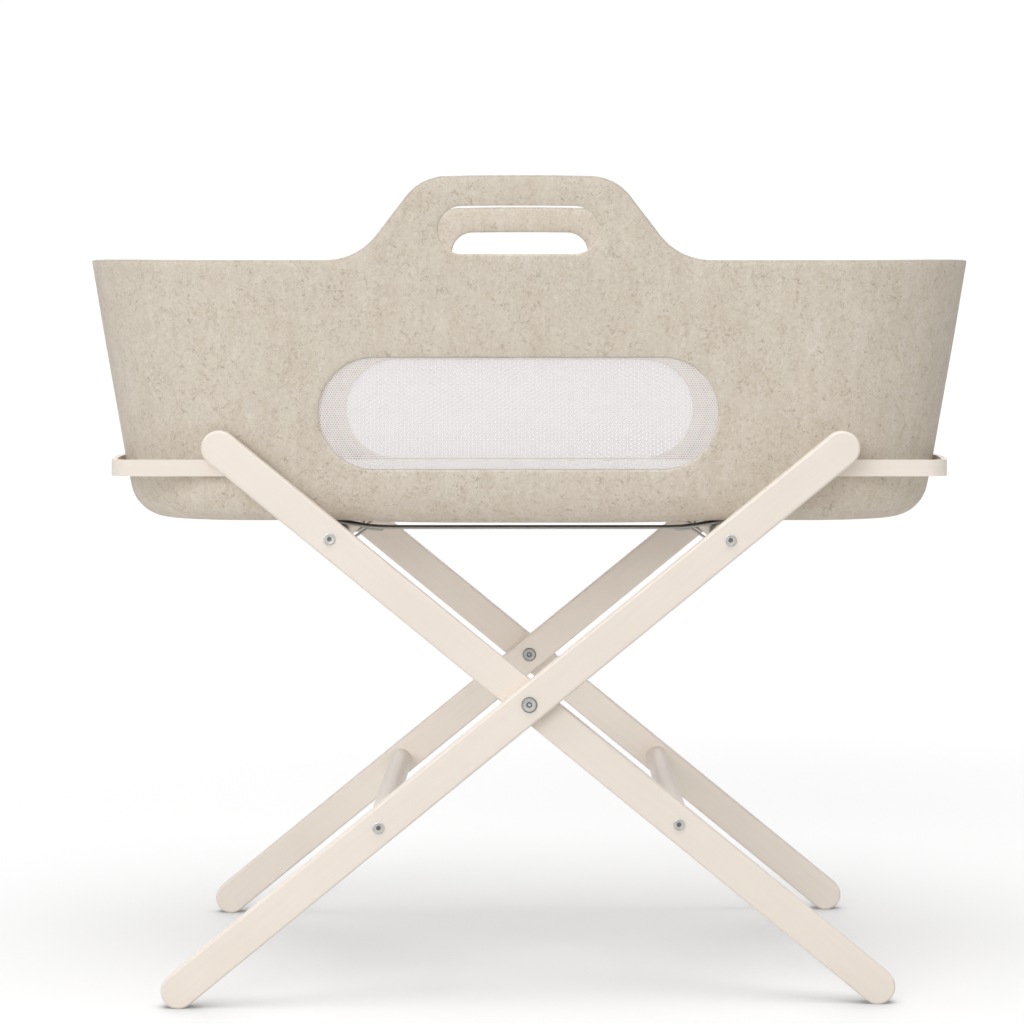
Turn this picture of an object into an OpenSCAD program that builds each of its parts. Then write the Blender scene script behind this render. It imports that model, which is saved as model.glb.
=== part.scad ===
// Moses basket of moulded felt on a folding X stand, millimetres, +Z up.
// Origin on the floor, midway between the four feet. X runs along the basket, -Y is its front.
// Frame A leans to the right as seen from the front, frame B to the left; B is A turned half round.

/* [Stand] */
// Width of a leg, seen from the front
leg_w = 32; // [28:1:40]
// Thickness of a leg
leg_t = 16; // [12:1:20]
// Rounding of a leg's edges
leg_edge_r = 2.5; // [1:0.5:4]
// Distance of a foot's end centre from the middle
foot_x = 315.5; // [280:0.5:340]
// Height of a foot's end centre, a little less than half a leg's width so that the foot is flat
foot_z = 15.5; // [15:0.1:15.8]
// Distance of a leg's top end centre from the middle
top_x = 281.5; // [260:0.5:300]
// Height of a leg's top end centre
top_z = 503; // [480:1:520]
// Half of the clear width between the inner legs
inner_half = 188; // [184:1:200]
// Gap between crossing legs, filled by a washer
leg_gap = 1.2; // [1:0.1:2]

/* [Crossbars] */
// Diameter of a crossbar dowel
dowel_d = 22; // [18:1:26]
// Height of the upper dowels
upper_dowel_z = 420.8; // [415:0.1:420.8]
// Height of the lower dowels
lower_dowel_z = 162.5; // [150:0.5:190]
// Length of the threaded insert in each dowel end
insert_l = 22; // [16:1:30]

/* [Fasteners] */
// Head diameter of the pivot bolts and their barrel nuts
pivot_head_d = 14; // [12:0.5:18]
// Barrel diameter on which the legs turn
pivot_barrel_d = 9; // [8:0.5:10]
// Head diameter of the crossbar bolts
bolt_head_d = 10.8; // [10:0.2:13]
// Shank diameter of all bolts
bolt_d = 6; // [5:0.5:6]
// How far bolt heads stand proud
head_h = 1.8; // [1.4:0.1:2.5]

/* [End rails] */
// Height of the rail's flat bar
rail_h = 15; // [12:1:18]
// Thickness of the rail's flat bar
rail_t = 5; // [4:0.5:5]
// Height of the rail's centre line
rail_z = 484.5; // [478:0.5:490]
// Outermost reach of a rail along X
rail_end = 397; // [396:0.5:402]
// Radius of the bowed end
rail_bow_r = 1070; // [700:10:2000]
// Outside corner radius in plan
rail_corner_r = 22; // [16:1:30]
// Distance of the arms' inner ends from the middle
rail_arm_x = 250; // [244:1:256]

/* [Basket] */
// Length over the rim
rim_l = 836; // [828:1:838]
// Width over the rim
rim_w = 425; // [416:1:427]
// Height of the underside
base_z = 434.3; // [434.2:0.1:436]
// Height of the rim
rim_z = 674; // [660:1:690]
// Outward slope of the walls from upright, in degrees
flare = 9.9; // [8:0.1:10]
// Corner radius of the rim in plan
rim_corner_r = 163; // [145:1:180]
// Rounding between wall and underside
base_r = 35; // [25:1:40]
// Felt thickness
felt_t = 4; // [3:0.5:5]
// Place of the handles and windows along X
feature_x = -10; // [-12:1:12]
// Height of the carrying handles over the rim
handle_h = 77; // [70:1:85]
// Half length of the handle's level crown
crown_half = 65.5; // [50:0.5:70]
// Radius of the handle's shoulders
crown_r = 45; // [35:1:50]
// Slope of the handle's sides
handle_slope = 52.7; // [48:0.1:56]
// Radius where the handle runs into the rim
handle_foot_r = 59; // [45:1:70]
// Length of the hand hole
slot_l = 145; // [120:1:150]
// Height of the hand hole
slot_h = 43; // [36:1:45]
// Height of the hand hole's centre over the rim
slot_up = 28.3; // [26:0.1:32]
// Length of the mesh window
window_l = 365; // [320:1:370]
// Height of the mesh window
window_h = 103; // [90:1:104]
// Height of the window's centre over the floor
window_z = 534; // [530:1:545]
// Thickness of the window mesh
mesh_t = 1.2; // [1:0.1:2]
// Border of mesh and binding round the window
border = 13; // [10:1:16]
// Thickness of the binding tape over the mesh's border
binding_t = 1.5; // [1:0.1:2]
// Thickness of the stiff base board
board_t = 3; // [2:0.5:4]

/* [Mattress] */
// Length of the mattress
mattress_l = 716; // [660:1:716]
// Width of the mattress
mattress_w = 310; // [270:1:310]
// Thickness of the mattress
mattress_h = 39; // [30:1:42]
// Corner radius of the mattress in plan
mattress_corner_r = 122; // [100:1:130]
// Rounding of the mattress's edges
mattress_edge_r = 11; // [6:1:14]
// Thickness of the cover fabric
cover_t = 2; // [1.5:0.5:3]

/* [Support straps] */
// Width of each strap
strap_w = 38; // [25:1:40]
// Thickness of the webbing
strap_t = 1.8; // [1.4:0.1:2]
// Distance of each strap's centre line from the middle
strap_y = 120; // [80:5:140]
// Dip of the strap midway between the dowels
strap_dip = 4; // [2:0.5:8]
// Distance from a dowel's centre to the seam that closes the loop
strap_return = 30; // [26:1:60]
// Length of that seam
strap_seam = 14; // [10:1:20]

/* [Hidden] */

$fn = 48;
paint = [0.92, 0.88, 0.84];
steel = [0.72, 0.72, 0.70];
felt = [0.80, 0.77, 0.70];
white_mesh = [0.93, 0.92, 0.92];
white_fabric = [0.96, 0.96, 0.95];
webbing = [0.33, 0.33, 0.32];

touch = 0.1;                    // gap between pieces of different bodies that lie face to face
running = 0.05;                 // radial running clearance on the pivots
fit_gap = 0.05;                 // radial gap between a fixed shank and its hole
leg_run = foot_x + top_x;
leg_rise = top_z - foot_z;
leg_angle = atan2(leg_rise, leg_run);
leg_l = norm([leg_run, leg_rise]);
pivot_z = foot_z + leg_rise * foot_x / leg_run;
outer_half = inner_half + leg_t + leg_gap;      // inner face of the outer legs
stand_half = outer_half + leg_t;                // outer face of the outer legs
dowel_r = dowel_d / 2;

// Distance of a height's point on frame A's centre line from the foot, along the leg
function along(z) = (z - foot_z) / sin(leg_angle);
// X of that point
function line_x(z) = -foot_x + along(z) * cos(leg_angle);

// ---------- shared shapes ----------

module rounded_rect(w, h, r) {
    square([w - 2 * r, h], center = true);
    square([w, h - 2 * r], center = true);
    for (x = [-1, 1], y = [-1, 1])
        translate([x * (w / 2 - r), y * (h / 2 - r)]) circle(r);
}

// Half section of a round disc with a rounded rim
module disc_section(radius, h, r) {
    translate([0, -h / 2]) square([radius - r, h]);
    translate([0, -h / 2 + r]) square([radius, h - 2 * r]);
    for (y = [-1, 1])
        translate([radius - r, y * (h / 2 - r)]) circle(r);
}

// Flat bar with round ends and rounded edges, from x = 0 to x = l, thickness along Z
module rounded_bar(l, w, t, r) {
    rotate([90, 0, 90]) linear_extrude(l) rounded_rect(w, t, r);
    for (x = [0, l])
        translate([x, 0, 0]) rotate_extrude() disc_section(w / 2, t, r);
}

module stadium(l, h) {
    square([l - h, h], center = true);
    for (x = [-1, 1])
        translate([x * (l - h) / 2, 0]) circle(h / 2);
}

// A cylinder along Y from y0 to y1
module rod_y(x, z, y0, y1, d) {
    translate([x, y0, z]) rotate([-90, 0, 0]) cylinder(h = y1 - y0, d = d);
}

// Turns frame A's pieces into frame B's
module half_turn() {
    rotate([0, 0, 180]) children();
}

// Draws something at the front and, turned half round, at the back
module front_and_back() {
    children();
    half_turn() children();
}

// ---------- legs ----------

// One leg of frame A, with its centre plane at y; bores for the pivot and the crossbar bolts
module leg(y) {
    difference() {
        translate([-foot_x, y, foot_z]) rotate([90, -leg_angle, 0]) difference() {
            rounded_bar(leg_l, leg_w, leg_t, leg_edge_r);
            translate([along(pivot_z), 0, -leg_t])
                cylinder(h = 2 * leg_t, d = pivot_barrel_d + 2 * running);
            for (z = [lower_dowel_z, upper_dowel_z])
                translate([along(z), 0, -leg_t])
                    cylinder(h = 2 * leg_t, d = bolt_d + 2 * fit_gap);
        }
        translate([-foot_x - leg_w, y - leg_t, -leg_w]) cube([2 * leg_w, 2 * leg_t, leg_w]);
        screw_holes();
    }
}

module outer_leg() color(paint) leg(-(outer_half + leg_t / 2));
module inner_leg() color(paint) leg(inner_half + leg_t / 2);

module leg_a_front() outer_leg();
module leg_a_back() inner_leg();
module leg_b_front() half_turn() inner_leg();
module leg_b_back() half_turn() outer_leg();

// ---------- crossbar dowels, their inserts and bolts ----------

module dowel(z) {
    color(paint) difference() {
        rod_y(line_x(z), z, -outer_half, inner_half, dowel_d);
        for (end = [[-outer_half, 1], [inner_half, -1]])
            translate([line_x(z), end[0], z]) rotate([-90 * end[1], 0, 0])
                translate([0, 0, -1]) cylinder(h = insert_l + 1, d = 10 + 2 * fit_gap);
    }
}

module dowel_inserts() {
    color(steel) for (z = [lower_dowel_z, upper_dowel_z], end = [[-outer_half, 1], [inner_half, -1]])
        translate([line_x(z), end[0], z]) rotate([-90 * end[1], 0, 0]) difference() {
            cylinder(h = insert_l, d = 10);
            translate([0, 0, -1]) cylinder(h = insert_l + 2, d = bolt_d + 2 * fit_gap);
        }
}

// Low domed head with a hexagon socket, standing on z = 0
module socket_head(d, across) {
    difference() {
        rotate_extrude() {
            square([d / 2 - 0.6, head_h]);
            square([d / 2, head_h - 0.6]);
            translate([d / 2 - 0.6, head_h - 0.6]) circle(0.6);
        }
        translate([0, 0, head_h - 1.3]) cylinder(h = 2, d = across / cos(30), $fn = 6);
    }
}

module crossbar_bolts() {
    color(steel) for (z = [lower_dowel_z, upper_dowel_z], end = [[-stand_half, -1], [inner_half + leg_t, 1]])
        translate([line_x(z), end[0], z]) rotate([-90 * end[1], 0, 0]) {
            socket_head(bolt_head_d, 4);
            translate([0, 0, -leg_t - insert_l + 2]) cylinder(h = leg_t + insert_l - 2, d = bolt_d);
        }
}

module dowel_a_upper() dowel(upper_dowel_z);
module dowel_a_lower() dowel(lower_dowel_z);
module dowel_b_upper() half_turn() dowel(upper_dowel_z);
module dowel_b_lower() half_turn() dowel(lower_dowel_z);
module dowel_inserts_a() dowel_inserts();
module dowel_inserts_b() half_turn() dowel_inserts();
module crossbar_bolts_a() crossbar_bolts();
module crossbar_bolts_b() half_turn() crossbar_bolts();

// ---------- end rails ----------

bow_x = rail_end - rail_bow_r;                   // centre of the bow
corner_y = inner_half - rail_corner_r;           // centre of the rounded corners
corner_x = bow_x + sqrt(pow(rail_bow_r - rail_corner_r, 2) - pow(corner_y, 2));
bow_half = atan2(corner_y, corner_x - bow_x);    // half of the angle that the bow spans
screw_xs = [rail_arm_x + 7, rail_arm_x + 23];   // the two screws in each arm

// Area inside the rail's outer face moved in by d, right of x0
module rail_area(d, x0) {
    bow_r = rail_bow_r - d;
    bow_end = [bow_x + bow_r * cos(bow_half), bow_r * sin(bow_half)];
    intersection() {
        translate([x0, -inner_half - 1]) square([rail_end, 2 * inner_half + 2]);
        union() {
            intersection() {
                translate([bow_x, 0]) circle(bow_r, $fn = 720);
                translate([bow_x, 0]) polygon([
                    [0, 0], 2 * bow_r * [cos(bow_half), -sin(bow_half)],
                    2 * bow_r * [cos(bow_half), sin(bow_half)]
                ]);
            }
            polygon([
                [x0 - 1, d - inner_half], [corner_x, d - inner_half], [corner_x, -corner_y],
                [bow_end[0], -bow_end[1]], bow_end, [corner_x, corner_y],
                [corner_x, inner_half - d], [x0 - 1, inner_half - d]
            ]);
            for (side = [-1, 1])
                translate([corner_x, side * corner_y]) circle(rail_corner_r - d, $fn = 96);
        }
    }
}

// U of flat bar round the basket's right end, at the tops of frame A's legs
module end_rail() {
    color(paint) difference() {
        translate([0, 0, rail_z - rail_h / 2]) linear_extrude(rail_h) difference() {
            rail_area(0, rail_arm_x);
            rail_area(rail_t, rail_arm_x - 5);
        }
        for (x = screw_xs)
            rod_y(x, rail_z, -inner_half - 1, inner_half + 1, 4 + 2 * fit_gap);
    }
}

// Block that carries the rail's front arm off the outer leg
module rail_spacer() {
    color(paint) difference() {
        translate([(screw_xs[0] + screw_xs[1]) / 2 - 7, -inner_half - (outer_half - inner_half) / 2, rail_z])
            rotate([90, 0, 0]) rounded_bar(14, 13, outer_half - inner_half, 1);
        for (x = screw_xs)
            rod_y(x, rail_z, -outer_half - 1, -inner_half + 1, 4 + 2 * fit_gap);
    }
}

// Dome-headed wood screws from the inside of the arms into the legs
module rail_screws() {
    color(steel) for (x = screw_xs) {
        rail_screw(x, -1, outer_half - inner_half + 10);
        rail_screw(x, 1, 10);
    }
}

module rail_screw(x, side, grip) {
    translate([x, side * (inner_half - rail_t), rail_z]) rotate([-90 * side, 0, 0]) {
        translate([0, 0, -1.2]) cylinder(h = 1.2, d = 7);
        cylinder(h = rail_t + grip, d = 4);
    }
}

// Pilot holes, so that the screws have room in the legs
module screw_holes() {
    for (x = screw_xs) {
        rod_y(x, rail_z, -outer_half - 11, -outer_half + 1, 4 + 2 * fit_gap);
        rod_y(x, rail_z, inner_half - 1, inner_half + 11, 4 + 2 * fit_gap);
    }
}

module end_rail_a() end_rail();
module end_rail_b() half_turn() end_rail();
module rail_spacer_a() rail_spacer();
module rail_spacer_b() half_turn() rail_spacer();
module rail_screws_a() rail_screws();
module rail_screws_b() half_turn() rail_screws();

// ---------- pivots ----------

pivot_shank = 2 * leg_t + leg_gap - 3;           // the bolt ends short of the barrel's closed end

// Front pivot: bolt head outside, barrel nut inside; the back pivot is the same, turned half round
module pivot_bolts() {
    color(steel) front_and_back()
        translate([0, -stand_half - touch, pivot_z]) rotate([90, 0, 0]) {
            socket_head(pivot_head_d, 5);
            translate([0, 0, -pivot_shank]) cylinder(h = pivot_shank, d = bolt_d);
        }
}

module pivot_barrel_nuts() {
    color(steel) front_and_back()
        translate([0, -inner_half + touch, pivot_z]) rotate([-90, 0, 0]) {
            socket_head(pivot_head_d, 5);
            translate([0, 0, -2 * leg_t - leg_gap - touch]) difference() {
                cylinder(h = 2 * leg_t + leg_gap + touch, d = pivot_barrel_d);
                translate([0, 0, -1]) cylinder(h = 2 * leg_t + leg_gap, d = bolt_d + 2 * fit_gap);
            }
        }
}

module pivot_washers() {
    color(white_fabric) front_and_back()
        rotate([90, 0, 0]) translate([0, pivot_z, inner_half + leg_t + touch]) difference() {
            cylinder(h = leg_gap - 2 * touch, d = 24);
            translate([0, 0, -1]) cylinder(h = leg_gap + 2, d = pivot_barrel_d + 2 * fit_gap);
        }
}

// ---------- support straps ----------

loop_in = dowel_r + 0.3;
loop_out = loop_in + strap_t;
strap_end_x = line_x(upper_dowel_z);

// Underside of the run at x from the dowel's centre, seen from the dowel
function run_low(x) = loop_in + strap_dip * x / strap_end_x;
loop_seam = [-strap_return, run_low(-strap_return)];
wrap_end = atan2(loop_seam[1], loop_seam[0]) + acos(loop_in / norm(loop_seam));

// Side view of a strap: looped round both upper dowels, each loop's end sewn back under the run
module strap_side() {
    for (side = [0, 1]) mirror([side, 0]) translate([strap_end_x, upper_dowel_z]) {
        difference() {
            circle(loop_out, $fn = 64);
            circle(loop_in, $fn = 64);
            polygon([[0, 0], [-0.6, 40], [-40, 40], [-40, -40], 60 * [cos(wrap_end - 2), sin(wrap_end - 2)]]);
        }
        polygon([
            [-strap_end_x, loop_out - strap_dip], [-strap_end_x, loop_in - strap_dip],
            [0, loop_in], [0, loop_out]
        ]);
        polygon([
            loop_in * [cos(wrap_end), sin(wrap_end)], loop_seam,
            [-strap_return - strap_seam, run_low(-strap_return - strap_seam)],
            [-strap_return - strap_seam, run_low(-strap_return - strap_seam) - strap_t],
            [-strap_return, run_low(-strap_return) - strap_t],
            loop_out * [cos(wrap_end), sin(wrap_end)]
        ]);
    }
}

module strap(y) {
    color(webbing) translate([0, y + strap_w / 2, 0]) rotate([90, 0, 0])
        linear_extrude(strap_w) strap_side();
}

module strap_front() strap(-strap_y);
module strap_back() strap(strap_y);

// ---------- basket ----------

slope = tan(flare);
wall_run = felt_t / cos(flare);                  // wall thickness measured level
corner_cx = rim_l / 2 - rim_corner_r;
corner_cy = rim_w / 2 - rim_corner_r;
base_corner_r = rim_corner_r - (rim_z - base_z) * slope;

// Distance of the outer wall face from the corner centres at a height
function wall_r(z) = base_corner_r + (z - base_z) * slope;
// Outer half width of the basket at a height
function half_w(z) = corner_cy + wall_r(z);

// Half section of the tub, inset from the outer face, up to a height
module tub_section(inset, top) {
    r = base_r - inset;
    low = base_z + inset;
    side = wall_r(low) - inset / cos(flare);     // level position of the wall at the bottom
    cx = side - r * (1 - sin(flare)) / cos(flare);
    translate([cx, low + r]) circle(r, $fn = 64);
    polygon([
        [0, low], [cx, low], [cx, low + r],
        [cx + r * cos(flare), low + r - r * sin(flare)],
        [side + (top - low) * slope, top], [0, top]
    ]);
}

// Solid tub: quarter turns at the corners, straight runs between them
module tub(inset, top) {
    for (i = [0:3]) {
        sx = (i == 0 || i == 3) ? 1 : -1;
        sy = (i < 2) ? 1 : -1;
        translate([sx * corner_cx, sy * corner_cy, 0]) rotate([0, 0, 90 * i])
            rotate_extrude(angle = 90, $fn = 96) tub_section(inset, top);
    }
    for (i = [0, 1]) {
        rotate([0, 0, 180 * i]) translate([corner_cx, corner_cy, 0]) rotate([90, 0, 0])
            linear_extrude(2 * corner_cy) tub_section(inset, top);
        rotate([0, 0, 180 * i]) translate([-corner_cx, corner_cy, 0]) rotate([90, 0, 90])
            linear_extrude(2 * corner_cx) tub_section(inset, top);
    }
    translate([-corner_cx, -corner_cy, base_z + inset])
        cube([2 * corner_cx, 2 * corner_cy, top - base_z - inset]);
}

// A slanted slab that holds the front wall between two insets, from z0 to z1
module wall_slab(in0, in1, z0, z1) {
    y0 = -half_w(z0);
    y1 = -half_w(z1);
    translate([-300, 0, 0]) rotate([90, 0, 90]) linear_extrude(600)
        polygon([[y0 + in0, z0], [y0 + in1, z0], [y1 + in1, z1], [y1 + in0, z1]]);
}

// Handle outline over the rim, y up from the rim
shoulder = [crown_half + crown_r * sin(handle_slope), handle_h - crown_r * (1 - cos(handle_slope))];
heel_h = handle_foot_r * (1 - cos(handle_slope));
heel = [shoulder[0] + (shoulder[1] - heel_h) / tan(handle_slope), heel_h];
handle_half = heel[0] + handle_foot_r * sin(handle_slope);
root_depth = 6;                                  // how far the outline reaches into the wall

module handle_outline() {
    difference() {
        union() {
            polygon([
                [-handle_half, -root_depth], [-handle_half, 0], [-heel[0], heel[1]],
                [-shoulder[0], shoulder[1]], [-crown_half, handle_h],
                [crown_half, handle_h], [shoulder[0], shoulder[1]],
                [heel[0], heel[1]], [handle_half, 0], [handle_half, -root_depth]
            ]);
            for (x = [-1, 1])
                translate([x * crown_half, handle_h - crown_r]) circle(crown_r, $fn = 72);
        }
        for (x = [-1, 1])
            translate([x * handle_half, handle_foot_r]) circle(handle_foot_r, $fn = 96);
    }
}

// Cuts along Y through the front wall only
module through_front(z) {
    translate([0, -rim_w / 4, z]) rotate([90, 0, 0]) linear_extrude(rim_w / 2) children();
}

// The front's handle, at a place along X
module front_handle(x) {
    intersection() {
        through_front(rim_z) translate([x, 0]) handle_outline();
        wall_slab(0, wall_run, rim_z - root_depth, rim_z + handle_h + 1);
    }
}

module front_holes(x) {
    through_front(rim_z + slot_up) translate([x, 0]) stadium(slot_l, slot_h);
    through_front(window_z) translate([x, 0]) stadium(window_l, window_h);
}

module basket_shell() {
    color(felt) difference() {
        union() {
            difference() {
                tub(0, rim_z);
                tub(felt_t, rim_z + 1);
            }
            front_handle(feature_x);
            half_turn() front_handle(-feature_x);
        }
        front_holes(feature_x);
        half_turn() front_holes(-feature_x);
    }
}

module window_mesh(x) {
    intersection() {
        through_front(window_z) translate([x, 0]) stadium(window_l + 2 * border, window_h + 2 * border);
        wall_slab(wall_run, wall_run + mesh_t, window_z - window_h, window_z + window_h);
    }
}

module window_binding(x) {
    intersection() {
        through_front(window_z) translate([x, 0]) difference() {
            stadium(window_l + 2 * border, window_h + 2 * border);
            stadium(window_l - 2, window_h - 2);
        }
        wall_slab(wall_run + mesh_t, wall_run + mesh_t + binding_t, window_z - window_h, window_z + window_h);
    }
}

module window_mesh_front() color(white_mesh) window_mesh(feature_x);
module window_mesh_back() color(white_mesh) half_turn() window_mesh(-feature_x);
module window_binding_front() color(felt) window_binding(feature_x);
module window_binding_back() color(felt) half_turn() window_binding(-feature_x);

module rounded_plate(l, w, r, h) {
    linear_extrude(h) rounded_rect(l, w, r);
}

module base_board() {
    color([0.72, 0.66, 0.55]) translate([0, 0, base_z + felt_t])
        rounded_plate(mattress_l - 34, mattress_w - 30, mattress_corner_r - 16, board_t);
}

// ---------- mattress ----------

mattress_z = base_z + felt_t + board_t + 0.3;

// Plump slab: rounded edges all round, made of quarter discs, straight runs and a middle slab
module soft_slab(l, w, h, corner, edge) {
    for (x = [-1, 1], y = [-1, 1])
        translate([x * (l / 2 - corner), y * (w / 2 - corner), h / 2])
            rotate_extrude($fn = 96) disc_section(corner, h, edge);
    translate([-(l / 2 - corner), 0, h / 2]) rotate([90, 0, 90])
        linear_extrude(l - 2 * corner) rounded_rect(w, h, edge);
    translate([0, w / 2 - corner, h / 2]) rotate([90, 0, 0])
        linear_extrude(w - 2 * corner) rounded_rect(l, h, edge);
}

module mattress_core() {
    color([0.98, 0.96, 0.86]) translate([0, 0, mattress_z + cover_t])
        soft_slab(mattress_l - 2 * cover_t, mattress_w - 2 * cover_t, mattress_h - 2 * cover_t,
            mattress_corner_r - cover_t, mattress_edge_r - cover_t);
}

module mattress_cover() {
    color(white_fabric) translate([0, 0, mattress_z]) difference() {
        soft_slab(mattress_l, mattress_w, mattress_h, mattress_corner_r, mattress_edge_r);
        translate([0, 0, cover_t - 0.05])
            soft_slab(mattress_l - 2 * cover_t + 0.1, mattress_w - 2 * cover_t + 0.1,
                mattress_h - 2 * cover_t + 0.1, mattress_corner_r - cover_t + 0.05,
                mattress_edge_r - cover_t + 0.05);
    }
}

// Zip along the cover's back side, with its slider
module mattress_zip() {
    color([0.9, 0.9, 0.9]) translate([0, mattress_w / 2, mattress_z + mattress_h / 2]) {
        translate([-150, 0, -3]) cube([300, 1, 6]);
        translate([-150, 1, -2.5]) cube([9, 1.6, 5]);
    }
}

pivot_bolts();
pivot_barrel_nuts();
pivot_washers();
strap_front();
strap_back();
leg_a_front();
leg_a_back();
dowel_a_upper();
dowel_a_lower();
end_rail_a();
rail_spacer_a();
rail_screws_a();
crossbar_bolts_a();
dowel_inserts_a();
leg_b_front();
leg_b_back();
dowel_b_upper();
dowel_b_lower();
end_rail_b();
rail_spacer_b();
rail_screws_b();
crossbar_bolts_b();
dowel_inserts_b();
basket_shell();
window_mesh_front();
window_mesh_back();
window_binding_front();
window_binding_back();
base_board();
mattress_cover();
mattress_core();
mattress_zip();
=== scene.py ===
"""Looks of a Moses basket on a folding X stand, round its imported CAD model. Metres, +Z up, front at -Y."""
import math

import bmesh
import bpy
import numpy as np
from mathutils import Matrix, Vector
from mathutils.geometry import delaunay_2d_cdt


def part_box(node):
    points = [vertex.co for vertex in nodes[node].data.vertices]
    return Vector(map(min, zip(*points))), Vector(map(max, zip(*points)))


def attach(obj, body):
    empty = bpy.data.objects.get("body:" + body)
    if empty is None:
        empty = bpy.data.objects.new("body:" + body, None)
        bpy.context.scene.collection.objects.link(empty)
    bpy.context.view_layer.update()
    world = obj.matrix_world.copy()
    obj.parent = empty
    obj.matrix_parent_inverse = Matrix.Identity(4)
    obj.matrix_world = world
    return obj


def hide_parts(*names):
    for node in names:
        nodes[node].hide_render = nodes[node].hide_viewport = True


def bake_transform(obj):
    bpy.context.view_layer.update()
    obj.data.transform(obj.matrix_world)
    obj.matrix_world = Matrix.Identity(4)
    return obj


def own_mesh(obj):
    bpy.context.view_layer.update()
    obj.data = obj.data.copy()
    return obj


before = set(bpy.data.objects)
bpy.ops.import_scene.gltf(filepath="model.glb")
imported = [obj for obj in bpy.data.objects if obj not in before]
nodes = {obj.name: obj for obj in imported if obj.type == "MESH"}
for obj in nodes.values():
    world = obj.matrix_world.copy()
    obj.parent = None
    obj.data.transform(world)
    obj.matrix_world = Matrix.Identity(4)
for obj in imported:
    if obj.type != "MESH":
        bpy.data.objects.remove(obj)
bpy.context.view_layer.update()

MM = 0.001


def middle_of(node):
    """The middle of a CAD node's box."""
    lo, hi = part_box(node)
    return (lo + hi) / 2


# ---------------- node graphs

class Nodes:
    """The empty node tree of a material or a world."""

    def __init__(self, owner):
        self.owner = owner
        owner.use_nodes = True
        self.tree = owner.node_tree
        self.tree.nodes.clear()

    def node(self, kind, inputs=None, **props):
        """A node with its properties set, and its inputs set or linked."""
        n = self.tree.nodes.new(kind)
        for key, value in props.items():
            setattr(n, key, value)
        for key, value in (inputs or {}).items():
            socket = n.inputs[key]
            if isinstance(value, bpy.types.NodeSocket):
                self.tree.links.new(value, socket)
            else:
                socket.default_value = value
        return n


class Graph(Nodes):
    """A material's node tree, with short calls for the nodes used here."""

    def __init__(self, name):
        super().__init__(bpy.data.materials.new(name))
        self.coord = self.node("ShaderNodeTexCoord").outputs["Object"]

    def math(self, op, a, b=0.0, c=0.0):
        return self.node("ShaderNodeMath", {0: a, 1: b, 2: c}, operation=op).outputs[0]

    def add(self, a, b):
        return self.math("ADD", a, b)

    def times(self, a, b):
        return self.math("MULTIPLY", a, b)

    def noise(self, scale, detail=2.0, rough=0.5, distortion=0.0, coord=None):
        return self.node("ShaderNodeTexNoise", {
            "Vector": coord or self.coord, "Scale": scale, "Detail": detail,
            "Roughness": rough, "Distortion": distortion}).outputs["Fac"]

    def ramp(self, value, low, high, to_low=0.0, to_high=1.0):
        """A smooth step between two levels of a value."""
        return self.node("ShaderNodeMapRange", {
            "Value": value, "From Min": low, "From Max": high, "To Min": to_low, "To Max": to_high},
            interpolation_type="SMOOTHSTEP").outputs["Result"]

    def mix(self, factor, a, b, blend="MIX"):
        """Two colours mixed; each is a socket or (r, g, b)."""
        a, b = ((*c, 1.0) if isinstance(c, tuple) else c for c in (a, b))
        n = self.node("ShaderNodeMix", {0: factor, 6: a, 7: b}, data_type="RGBA", blend_type=blend)
        return n.outputs[2]

    def mapped(self, scale=(1, 1, 1), offset=(0, 0, 0)):
        return self.node("ShaderNodeMapping", {
            "Vector": self.coord, "Scale": scale, "Location": offset}).outputs[0]

    def axes(self):
        return self.node("ShaderNodeSeparateXYZ", {0: self.coord}).outputs

    def wave(self, place, period):
        """Rounded ridges side by side, one to each period."""
        return self.math("ABSOLUTE", self.math("SINE", self.times(place, math.pi / period)))

    def bump(self, height, distance, strength=1.0, under=None):
        inputs = {"Height": height, "Distance": distance, "Strength": strength}
        if under is not None:
            inputs["Normal"] = under
        return self.node("ShaderNodeBump", inputs).outputs[0]

    def surface(self, **inputs):
        """A material of one shader, with short names for its inputs."""
        keys = {"color": "Base Color", "rough": "Roughness", "normal": "Normal", "metal": "Metallic",
                "sheen": "Sheen Weight", "sheen_rough": "Sheen Roughness", "coat": "Coat Weight",
                "coat_rough": "Coat Roughness", "spec": "Specular IOR Level"}
        shader = self.node("ShaderNodeBsdfPrincipled", {keys[key]: value for key, value in inputs.items()})
        return self.out(shader.outputs[0])

    def out(self, socket):
        """The finished material."""
        self.node("ShaderNodeOutputMaterial", {"Surface": socket})
        return self.owner


# ---------------- materials

FELT_PALE, FELT_TAN = (0.732, 0.674, 0.601), (0.614, 0.544, 0.446)
FIBRES = (
    # scale, half width, scale of the clusters, threshold of the clusters, strength, colour
    (62, 0.010, 30, 0.46, 0.34, (0.35, 0.265, 0.175)),
    (78, 0.012, 34, 0.46, 0.30, (0.86, 0.83, 0.78)),
    (95, 0.020, 42, 0.51, 0.46, (0.31, 0.235, 0.155)),
    (130, 0.028, 60, 0.53, 0.45, (0.30, 0.225, 0.145)),
    (190, 0.044, 50, 0.55, 0.50, (0.28, 0.205, 0.135)),
    (260, 0.060, 75, 0.52, 0.34, (0.29, 0.215, 0.14)),
)


def scaled(color, tone):
    """A colour made lighter or darker."""
    return tuple(c * tone for c in color)


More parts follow.
